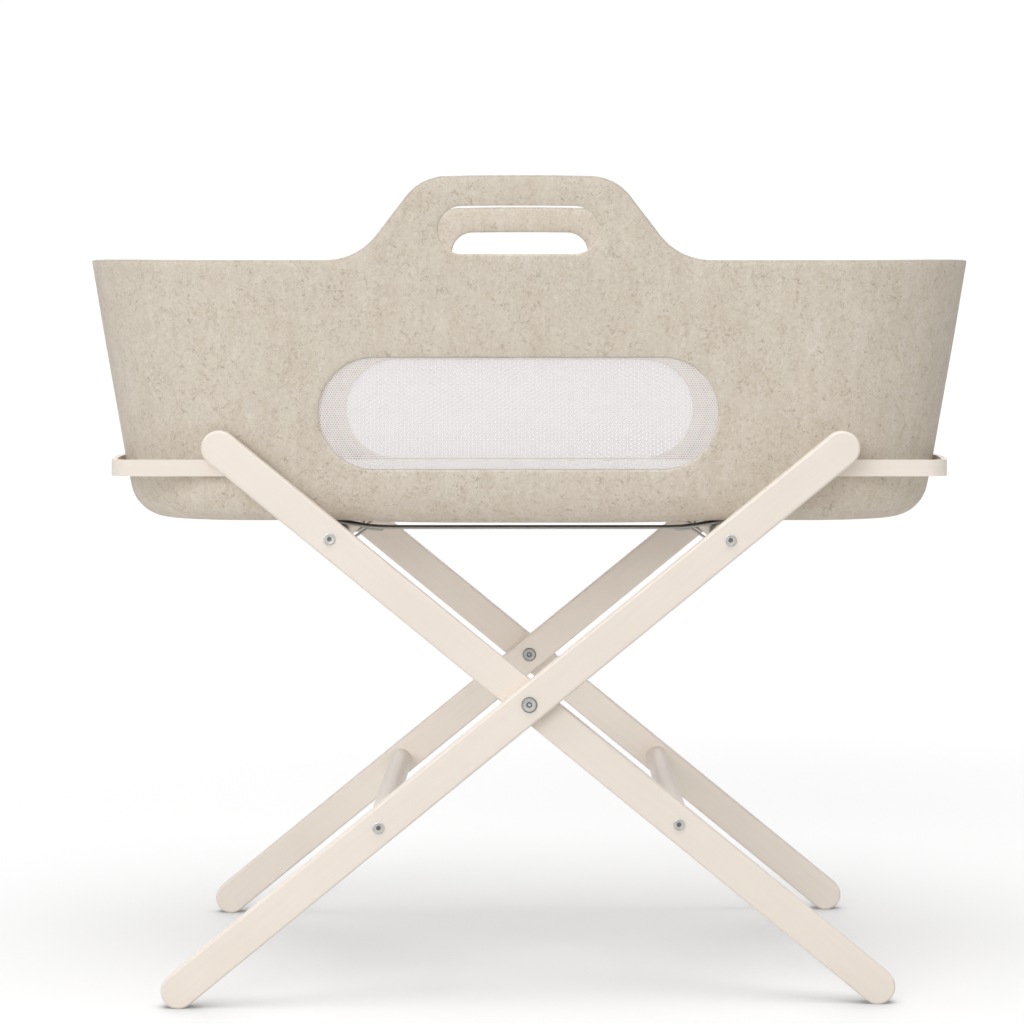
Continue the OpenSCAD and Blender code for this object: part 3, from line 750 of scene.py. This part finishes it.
def build_tape(name, out):
    """Felt tape with rounded edges round the inside of a window."""
    verts, faces = [], []
    for distance, height in TAPE_PROFILE:
        p, _ = window_loop(distance * MM, 4 * MM)
        n = len(p)
        verts.append(window_plane(p[:, 0], p[:, 1], out, np.full(n, WALL_RUN + TAPE_GAP + height * MM)))
    for k in range(len(TAPE_PROFILE) - 1):
        bridge(faces, k * n, (k + 1) * n, n, flip=out < 0)
    obj = new_object(name.replace("window_binding", "window_tape"), np.concatenate(verts), faces, felt_tape)
    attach(obj, "basket")
    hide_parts(name)


def build_tape_stitches(name, out):
    """Stitches along both edges of a window's tape."""
    verts, faces = [], []

    def place(q, d):
        return window_plane(q[:, 0], q[:, 1], out, WALL_RUN + STITCH_GAP + d)

    for distance in STITCH_ROWS:
        p, along = window_loop(distance, 1.0 * MM)
        gap = np.linalg.norm(np.roll(p, -1, 0) - p, axis=1)
        travel = np.concatenate([[0], np.cumsum(gap)])
        count = int(travel[-1] / STITCH_PITCH)
        for s in range(count):
            at = (s + 0.5) * travel[-1] / count
            i = min(int(np.searchsorted(travel, at)) - 1, len(p) - 1)
            add_stitch(verts, faces, p[i], along[i], place)
    obj = new_object(name.replace("window_binding", "window_stitch"), verts, faces, white_thread)
    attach(obj, "basket")


def add_stitch(verts, faces, at, along, place, length=2.3 * MM, radius=0.32 * MM):
    """One stitch: a short thread with tucked-in ends, laid on a surface by place(points, depths)."""
    across = np.array([-along[1], along[0]])
    first, sides = len(verts), 6
    flat, depth = [], []
    for t, r, sink in STITCH_SHAPE:
        for k in range(sides):
            a = 2 * math.pi * k / sides
            flat.append(at + along * length * t + across * radius * r * math.cos(a))
            depth.append(radius * (sink + r * math.sin(a)))
    verts.extend(place(np.array(flat), np.array(depth)))
    last = first + (len(STITCH_SHAPE) - 1) * sides
    for ring in range(first, last, sides):
        bridge(faces, ring, ring + sides, sides)
    cap(faces, first, sides)
    cap(faces, last, sides)


for name, out in (("window_mesh_front", -1), ("window_mesh_back", 1)):
    build_net(name, out)
for name, out in (("window_binding_front", -1), ("window_binding_back", 1)):
    build_tape(name, out)
    build_tape_stitches(name, out)


# ---------------- bolt heads

SIDES = 48
TURNS = np.arange(SIDES) * 2 * math.pi / SIDES
# steel of each ring from a head's foot inwards, and of its socket's floor: 0 bright, 1 grey as painted
# shade, 2 dark as painted shadow round the pivot heads' rims, in the step and in the sockets
PIVOT_LOOKS = "222121111221"
BOLT_LOOKS = "000021111222"
SHANK_LOOKS = "000"


def head_rings(radius, across):
    """(radii, height) of each ring of a dished head, down to the floor of its hexagon socket."""
    top, floor = 1.75 * MM, 0.25 * MM
    hexagon = across / 2 / np.cos((TURNS + math.pi / 6) % (math.pi / 3) - math.pi / 6)
    plain = [(radius, 0), (radius, top - 0.6 * MM), (radius - 0.25 * MM, top - 0.15 * MM),
             (radius - 0.75 * MM, top), (radius * 0.82, top), (radius * 0.79, top - 0.25 * MM),
             (radius * 0.70, top - 0.32 * MM), (radius * 0.54, top - 0.36 * MM)]
    return [(np.full(SIDES, r), h) for r, h in plain] + [
        (hexagon + 0.3 * MM, top - 0.36 * MM), (hexagon, top - 0.5 * MM),
        (hexagon, floor), (hexagon * 0.5, floor - 0.1 * MM)]


def shank_rings(radius, length):
    """(radii, height) of each ring of a shank, which ends in a chamfer."""
    chamfer = 0.6 * MM
    return [(np.full(SIDES, r), -h)
            for r, h in ((radius, 0.0), (radius, length - chamfer), (radius - chamfer, length))]


def bolt_heads(name, node, body, heads, head, shank, looks):
    """Bolts with dished heads and a hexagon socket: heads lists (centre on the face, direction along Y)."""
    verts, faces, face_looks = [], [], []

    def turned(rings, rings_looks, centre, way, flip):
        """A surface through the rings, with a face over the last one."""
        first = len(verts)
        for radii, h in rings:
            verts.extend((centre[0] + r * math.cos(t), centre[1] + way * h, centre[2] + r * math.sin(t))
                         for r, t in zip(radii, TURNS))
        for k in range(len(rings) - 1):
            bridge(faces, first + k * SIDES, first + (k + 1) * SIDES, SIDES, flip=flip)
            face_looks.extend([int(rings_looks[k])] * SIDES)
        cap(faces, len(verts) - SIDES, SIDES, flip)
        face_looks.append(int(rings_looks[-1]))

    for centre, way in heads:
        turned(head_rings(*head), looks, centre, way, way > 0)
        turned(shank_rings(*shank), SHANK_LOOKS, centre, way, way < 0)
    obj = new_object(name, verts, faces, steel, False)
    # the grey steel is painted shade, the dark steel painted shadow
    obj.data.materials.append(face_steel)
    obj.data.materials.append(dark_steel)
    obj.data.polygons.foreach_set("material_index", face_looks)
    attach(obj, body)
    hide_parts(node)


pivot_z = middle_of("pivot_bolts").z
outer_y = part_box("leg_b_back")[1].y
inner_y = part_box("leg_a_back")[0].y
PIVOT_HEAD = (7.0 * MM, 5.0 * MM)        # radius, and width of the socket
bolt_heads("pivot_heads", "pivot_bolts", "pivots",
           [((0, -outer_y, pivot_z), -1), ((0, outer_y, pivot_z), 1)],
           PIVOT_HEAD, (3.0 * MM, 30 * MM), PIVOT_LOOKS)
bolt_heads("pivot_nut_heads", "pivot_barrel_nuts", "pivots",
           [((0, -inner_y, pivot_z), 1), ((0, inner_y, pivot_z), -1)],
           PIVOT_HEAD, (4.5 * MM, 33 * MM), PIVOT_LOOKS)
for side in "ab":
    spots = []
    for level in ("upper", "lower"):
        bar = middle_of(f"dowel_{side}_{level}")
        spots.append(((bar.x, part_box(f"leg_{side}_front")[0].y, bar.z), -1))
        spots.append(((bar.x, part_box(f"leg_{side}_back")[1].y, bar.z), 1))
    bolt_heads(f"crossbar_heads_{side}", f"crossbar_bolts_{side}", f"frame_{side}", spots,
               (5.4 * MM, 4.0 * MM), (3.0 * MM, 32 * MM), BOLT_LOOKS)


# ---------------- straps

upper_lo, upper_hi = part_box("dowel_a_upper")
DOWEL_R = (upper_hi.z - upper_lo.z) / 2
DOWEL_X, DOWEL_Z = middle_of("dowel_a_upper").x, middle_of("dowel_a_upper").z
WEB_T, RETURN, SEAM = 1.8 * MM, 30 * MM, 14 * MM  # thickness; the returned end, from the bar and sewn
LOOP_R = DOWEL_R + 0.3 * MM + WEB_T / 2
LEAVE = math.radians(10)         # slope of the strap next to a crossbar
DIP, DIP_END, DIP_SOFT = 6.3 * MM, 0.1455, 5 * MM # hang below the bars, where it ends, and its rounding
LAYER = 0.1 * MM                 # gap between two layers of webbing


def dip(x):
    """How far the strap hangs below the tops of the crossbars: level in the middle, steeper near them."""
    return DIP - math.tan(LEAVE) * DIP_SOFT * np.log1p(np.exp((x - DIP_END) / DIP_SOFT))


def strap_path():
    """Centre line of one half of a strap, from the middle to the end that is sewn back, in (x, z)."""
    pts = []
    for x in np.linspace(0, DOWEL_X - LOOP_R * math.sin(LEAVE), 60, endpoint=False):
        pts.append((x, DOWEL_Z + LOOP_R - dip(x)))
    seam = np.array([-RETURN, LOOP_R - WEB_T - dip(DOWEL_X - RETURN) + LAYER])
    wrap = math.atan2(seam[1], seam[0]) + math.acos(LOOP_R / np.linalg.norm(seam))
    for a in np.linspace(math.pi / 2 + LEAVE, wrap - 2 * math.pi, 42):
        pts.append((DOWEL_X + LOOP_R * math.cos(a), DOWEL_Z + LOOP_R * math.sin(a)))
    start = np.array(pts[-1]) - (DOWEL_X, DOWEL_Z)
    for t in np.linspace(0, 1, 8)[1:]:
        p = start + (seam - start) * t
        pts.append((DOWEL_X + p[0], DOWEL_Z + p[1]))
    for t in np.linspace(0, 1, 6)[1:]:
        x = DOWEL_X - RETURN - SEAM * t
        pts.append((x, DOWEL_Z + LOOP_R - WEB_T + LAYER - dip(x)))
    return np.array(pts)


def webbing_section(half):
    """(across, up) of the points round a strap's section, with thinner woven edges."""
    t = WEB_T / 2
    section = [(-half, -0.45 * t), (-half + 0.3 * MM, -0.9 * t), (-half + 1.2 * MM, -t)]
    section += [(y, -t) for y in np.linspace(-half + 3 * MM, half - 3 * MM, 9)]
    section += [(half - 1.2 * MM, -t), (half - 0.3 * MM, -0.9 * t), (half, -0.45 * t)]
    return section + [(y, -d) for y, d in section[::-1]]


def build_webbing(name, y_mid, half, mirror):
    """One half of a strap, looped round its crossbar; mirror is 1 or -1."""
    path = strap_path()
    tangent = np.gradient(path, axis=0)
    tangent /= np.linalg.norm(tangent, axis=1)[:, None]
    normal = np.stack([-tangent[:, 1], tangent[:, 0]], 1)
    section = webbing_section(half)
    n, last = len(section), (len(path) - 1) * len(section)
    verts, faces = [], []
    for p, up in zip(path, normal):
        for y, d in section:
            q = p + up * d
            verts.append((q[0] * mirror, y_mid + y, q[1]))
    for ring in range(0, last, n):
        bridge(faces, ring, ring + n, n, flip=mirror < 0)
    cap(faces, 0, n, mirror > 0)
    cap(faces, last, n, mirror < 0)
    return new_object(name, verts, faces, webbing)


def build_seam(name, y_mid, half, mirror):
    """A box of stitches with a cross in it, on top of the strap and under its returned end."""
    x0, x1 = DOWEL_X - RETURN - SEAM + 2 * MM, DOWEL_X - RETURN - 1.5 * MM
    y0, y1 = -half + 3.5 * MM, half - 3.5 * MM
    lines = [((x0, y0), (x1, y0)), ((x1, y0), (x1, y1)), ((x1, y1), (x0, y1)), ((x0, y1), (x0, y0)),
             ((x0, y0), (x1, y1)), ((x0, y1), (x1, y0))]
    verts, faces = [], []

    def layer(offset, side):
        """Places stitches at an offset from the strap's middle, facing up (1) or down (-1)."""
        def place(q, d):
            z = DOWEL_Z + LOOP_R - dip(q[:, 0]) + offset + side * d
            return np.column_stack([q[:, 0] * mirror, y_mid + q[:, 1], z])
        return place

    for place in (layer(WEB_T / 2, 1), layer(LAYER - 1.5 * WEB_T, -1)):
        for a, b in lines:
            a, b = np.array(a), np.array(b)
            reach = np.linalg.norm(b - a)
            count = max(3, int(reach / (2.9 * MM)))
            for k in range(count):
                at = a + (b - a) * (k + 0.5) / count
                add_stitch(verts, faces, at, (b - a) / reach, place, 2.1 * MM, 0.28 * MM)
    return new_object(name, verts, faces, thread)


def build_strap(name, body, mirror):
    """One half of a strap with its seam, named after its frame."""
    lo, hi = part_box(name)
    y_mid, half = (lo.y + hi.y) / 2, (hi.y - lo.y) / 2
    obj = build_webbing(f"{name}_{body[-1]}", y_mid, half, mirror)
    sewn = build_seam(f"{name}_{body[-1]}_thread", y_mid, half, mirror)
    for o in (obj, sewn):
        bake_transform(o)
    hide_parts(name)


for name in ("strap_front", "strap_back"):
    build_strap(name, "frame_a", 1)
    build_strap(name, "frame_b", -1)


# ---------------- mattress

TRIM_X, TRIM_Y = 0.995, 0.992    # a little in from the CAD, so that the quilting has room
VOXEL = 4.2 * MM
QUILT_PITCH = 62 * MM            # diamonds, measured along X
CROWN, HOLLOW, WRINKLE = 1.6 * MM, 5.2 * MM, 0.45 * MM
QUILT_EDGE, QUILT_FADE = 7 * MM, 5 * MM           # the quilting fades towards the side band
BAND_BULGE, BAND_FROM, BAND_RISE = 1.2 * MM, 0.095, 0.02
CORE_X, CORE_Y = 0.236, 0.033    # the corners' centres in plan
mattress_lo, mattress_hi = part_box("mattress_cover")
MATTRESS_Z, MATTRESS_HALF = (mattress_hi.z + mattress_lo.z) / 2, (mattress_hi.z - mattress_lo.z) / 2


def outer_skin(mesh):
    """Keeps only the outer surface of a hollow solid: what is connected to its furthest point in X."""
    b = bmesh.new()
    b.from_mesh(mesh)
    bmesh.ops.remove_doubles(b, verts=b.verts, dist=1e-6)
    edge = {max(b.verts, key=lambda v: v.co.x)}
    outer = set(edge)
    while edge:
        edge = {other for v in edge for e in v.link_edges for other in e.verts} - outer
        outer |= edge
    bmesh.ops.delete(b, geom=[v for v in b.verts if v not in outer], context="VERTS")
    b.to_mesh(mesh)
    b.free()


def even_slab():
    """The cover's outer surface as one even quad mesh, made by remeshing the CAD's."""
    obj = bpy.data.objects.new("mattress", nodes["mattress_cover"].data.copy())
    bpy.context.scene.collection.objects.link(obj)
    outer_skin(obj.data)
    for v in obj.data.vertices:
        v.co.x *= TRIM_X
        v.co.y *= TRIM_Y
    remesh = obj.modifiers.new("even", "REMESH")
    remesh.mode, remesh.voxel_size, remesh.use_smooth_shade = "VOXEL", VOXEL, True
    old = obj.data
    even = bpy.data.meshes.new_from_object(obj.evaluated_get(bpy.context.evaluated_depsgraph_get()))
    obj.modifiers.clear()
    obj.data = even
    bpy.data.meshes.remove(old)
    even.materials.clear()
    even.materials.append(cotton)
    return obj


def quilted(x, y, z):
    """Height of the cover's points after diamond quilting, with soft hollows along the seams."""
    one_way = np.abs(((x + y) / QUILT_PITCH) % 1 - 0.5) * 2
    other_way = np.abs(((x - y) / QUILT_PITCH) % 1 - 0.5) * 2
    hollow = np.exp(-(np.minimum(one_way, other_way) / 0.30) ** 1.2)
    level = smooth_step((np.abs(z - MATTRESS_Z) - MATTRESS_HALF + QUILT_EDGE) / QUILT_FADE)
    wrinkle = 0.35 * np.sin(31 * x + 9 * np.sin(14 * y)) + 0.25 * np.sin(47 * y + 5 * np.sin(22 * x))
    return z + np.sign(z - MATTRESS_Z) * level * (CROWN - HOLLOW * hollow + WRINKLE * wrinkle)


def bulged(x, y, z):
    """Plan of the cover's points with its side band bulging between its two seams."""
    ring = np.clip(1 - (np.abs(z - MATTRESS_Z) / (MATTRESS_HALF - 4 * MM)) ** 2, 0, 1)
    ox, oy = x - np.clip(x, -CORE_X, CORE_X), y - np.clip(y, -CORE_Y, CORE_Y)
    reach = np.hypot(ox, oy) + 1e-9
    push = np.clip((reach - BAND_FROM) / BAND_RISE, 0, 1) * ring * BAND_BULGE
    return x + ox / reach * push, y + oy / reach * push


def build_mattress():
    """The quilted cover, as a padded piece round the foam core."""
    obj = even_slab()
    co = np.zeros(len(obj.data.vertices) * 3)
    obj.data.vertices.foreach_get("co", co)
    x, y, z = co.reshape(-1, 3).T
    z_new = quilted(x, y, z)
    x_new, y_new = bulged(x, y, z)
    obj.data.vertices.foreach_set("co", np.stack([x_new, y_new, z_new], 1).ravel())
    obj.data.update()
    smooth = obj.modifiers.new("soft", "SMOOTH")
    smooth.factor, smooth.iterations = 0.5, 2
    finer = obj.modifiers.new("finer", "SUBSURF")
    finer.levels = finer.render_levels = 1
    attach(obj, "mattress")
    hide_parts("mattress_cover")


PIPE_R, PIPE_SIDES, PIPE_POINTS, PIPE_SINK = 1.7 * MM, 8, 420, 0.4 * MM
PIPE_CORNER, PIPE_IN = 120.5 * MM, 8.5 * MM       # corner in plan, distance from the cover's top or base


def build_piping(name, z):
    """A cord of piping where one of the mattress's panels meets its side band."""
    cx, cy = mattress_hi.x * TRIM_X - PIPE_CORNER, mattress_hi.y * TRIM_Y - PIPE_CORNER
    quarter = PIPE_CORNER * math.pi / 2
    runs = [2 * cx, quarter, 2 * cy, quarter] * 2
    places, start = [], -cx
    for length in runs:
        count = max(2, round(PIPE_POINTS * length / sum(runs)))
        places.append(np.linspace(start, start + length, count, endpoint=False))
        start += length
    base, out = plan(np.concatenate(places), cx, cy, PIPE_CORNER)
    verts, faces = [], []
    for i, (centre, away) in enumerate(zip(base, out)):
        uneven = 0.15 * MM * math.sin(i * 0.9) + 0.1 * MM * math.sin(i * 2.3)
        for s in range(PIPE_SIDES):
            a = 2 * math.pi * s / PIPE_SIDES
            p = centre + away * (PIPE_CORNER + PIPE_R * math.cos(a) - PIPE_SINK + uneven)
            verts.append((*p, z + PIPE_R * math.sin(a)))
    for i in range(len(base)):
        bridge(faces, (i + 1) % len(base) * PIPE_SIDES, i * PIPE_SIDES, PIPE_SIDES)
    obj = new_object(name, verts, faces, cotton)
    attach(obj, "mattress")


build_mattress()
build_piping("mattress_piping_0", mattress_lo.z + PIPE_IN)
build_piping("mattress_piping_1", mattress_hi.z - PIPE_IN)


# ---------------- stage, light, camera

FLOOR_HALF = 40.0


def floor_material(name):
    """White studio floor, which fades into the white backdrop away from the object."""
    g = Graph(name)
    x, y, _ = g.axes()
    far = g.math("SQRT", g.add(g.math("POWER", x, 2.0), g.math("POWER", y, 2.0)))
    open_sky = g.node("ShaderNodeAmbientOcclusion", {"Distance": 0.07}, samples=8).outputs["AO"]
    painted_contact_shadow = g.ramp(open_sky, 0.25, 0.95, 0.30, 1.0)                    # painted contact shadow: darker close to what stands on it
    shaded = g.mix(painted_contact_shadow, (0.45, 0.45, 0.45), (0.93, 0.93, 0.93))
    near = g.node("ShaderNodeBsdfDiffuse", {"Color": shaded})
    # the glow is dimmed by the same painted contact shadow
    strength = g.times(painted_contact_shadow, 1.05)
    glow = g.node("ShaderNodeEmission", {"Color": (1.0, 1.0, 1.0, 1.0), "Strength": strength})
    share = g.ramp(far, 0.8, 2.2, 0.41, 1.0)
    fade = g.node("ShaderNodeMixShader", {0: share, 1: near.outputs[0], 2: glow.outputs[0]})
    dim = g.node("ShaderNodeBsdfDiffuse", {"Color": (0.68, 0.67, 0.65, 1.0)})   # as the object is lit by it
    soft = g.node("ShaderNodeLightPath").outputs["Is Diffuse Ray"]
    above = g.node("ShaderNodeMixShader", {0: soft, 1: fade.outputs[0], 2: dim.outputs[0]})
    glass = g.node("ShaderNodeBsdfTransparent")                          # seen from underneath
    under = g.node("ShaderNodeNewGeometry").outputs["Backfacing"]
    both = g.node("ShaderNodeMixShader", {0: under, 1: above.outputs[0], 2: glass.outputs[0]})
    return g.out(both.outputs[0])


def build_floor():
    """A pale floor, wide enough for every view."""
    corners = [(-FLOOR_HALF, -FLOOR_HALF, 0), (FLOOR_HALF, -FLOOR_HALF, 0),
               (FLOOR_HALF, FLOOR_HALF, 0), (-FLOOR_HALF, FLOOR_HALF, 0)]
    floor = new_object("studio_floor", corners, [(0, 1, 2, 3)], floor_material("studio_white"))
    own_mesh(floor)


def build_world(seen_strength, light_strength):
    """A white backdrop, brighter for the camera and in reflections than as a light."""
    g = Nodes(bpy.data.worlds.new("studio"))
    as_light = g.node("ShaderNodeLightPath").outputs["Is Diffuse Ray"]
    strength = g.node("ShaderNodeMapRange", {
        "Value": as_light, "To Min": seen_strength, "To Max": light_strength}).outputs["Result"]
    backdrop = g.node("ShaderNodeBackground", {"Color": (1.0, 1.0, 1.0, 1.0), "Strength": strength})
    g.node("ShaderNodeOutputWorld", {"Surface": backdrop.outputs[0]})
    return g.owner


def area_light(name, place, aim_z, size, power, color=(1, 1, 1)):
    """A soft box that looks at a height over the floor's origin."""
    data = bpy.data.lights.new(name, "AREA")
    data.shape, data.size, data.size_y = "RECTANGLE", size[0], size[1]
    data.energy, data.color = power, color
    obj = bpy.data.objects.new(name, data)
    scene.collection.objects.link(obj)
    obj.location = place
    obj.rotation_mode = "QUATERNION"
    obj.rotation_quaternion = (Vector((0, 0, aim_z)) - Vector(place)).to_track_quat("-Z", "Y")
    return obj


def light_far_frame():
    """A fill that reaches only the far legs and lower crossbars, which the near ones would leave dull."""
    far_frame = bpy.data.collections.new("lit_by_leg_fill")
    for name in ("leg_a_back", "leg_b_back", "dowel_a_lower", "dowel_b_lower"):
        far_frame.objects.link(nodes[name])
    leg_fill = area_light("leg_fill", (1.2, -7.0, 0.7), 0.3, (3.0, 2.0), 84)
    leg_fill.light_linking.receiver_collection = far_frame


def build_camera():
    """The photograph's camera: level, in front of the middle, with a long lens shifted down."""
    data = bpy.data.cameras.new("camera")
    data.lens, data.sensor_width = 90.0, 36.0
    data.shift_x, data.shift_y = -0.0169, -0.1367
    data.clip_start, data.clip_end = 0.05, 60
    camera = bpy.data.objects.new("camera", data)
    scene.collection.objects.link(camera)
    camera.location = (0.0, -2.520, 0.572)
    camera.rotation_euler = (math.pi / 2, 0, 0)
    return camera


scene = bpy.context.scene
build_floor()
scene.world = build_world(1.05, 0.275)
area_light("overhead", (-0.2, -1.3, 6.8), 0.4, (5.0, 4.5), 310)
area_light("key", (-4.7, -12.4, 4.9), 0.4, (10.0, 6.0), 826)
area_light("back", (-1.0, 10.0, 7.0), 0.4, (8.0, 5.0), 280)
area_light("warm_fill", (9.0, -5.0, 3.0), 0.4, (5.0, 5.0), 18, (1.0, 0.80, 0.58))
light_far_frame()
scene.camera = build_camera()
scene.view_settings.view_transform = "Standard"
scene.view_settings.look = "None"
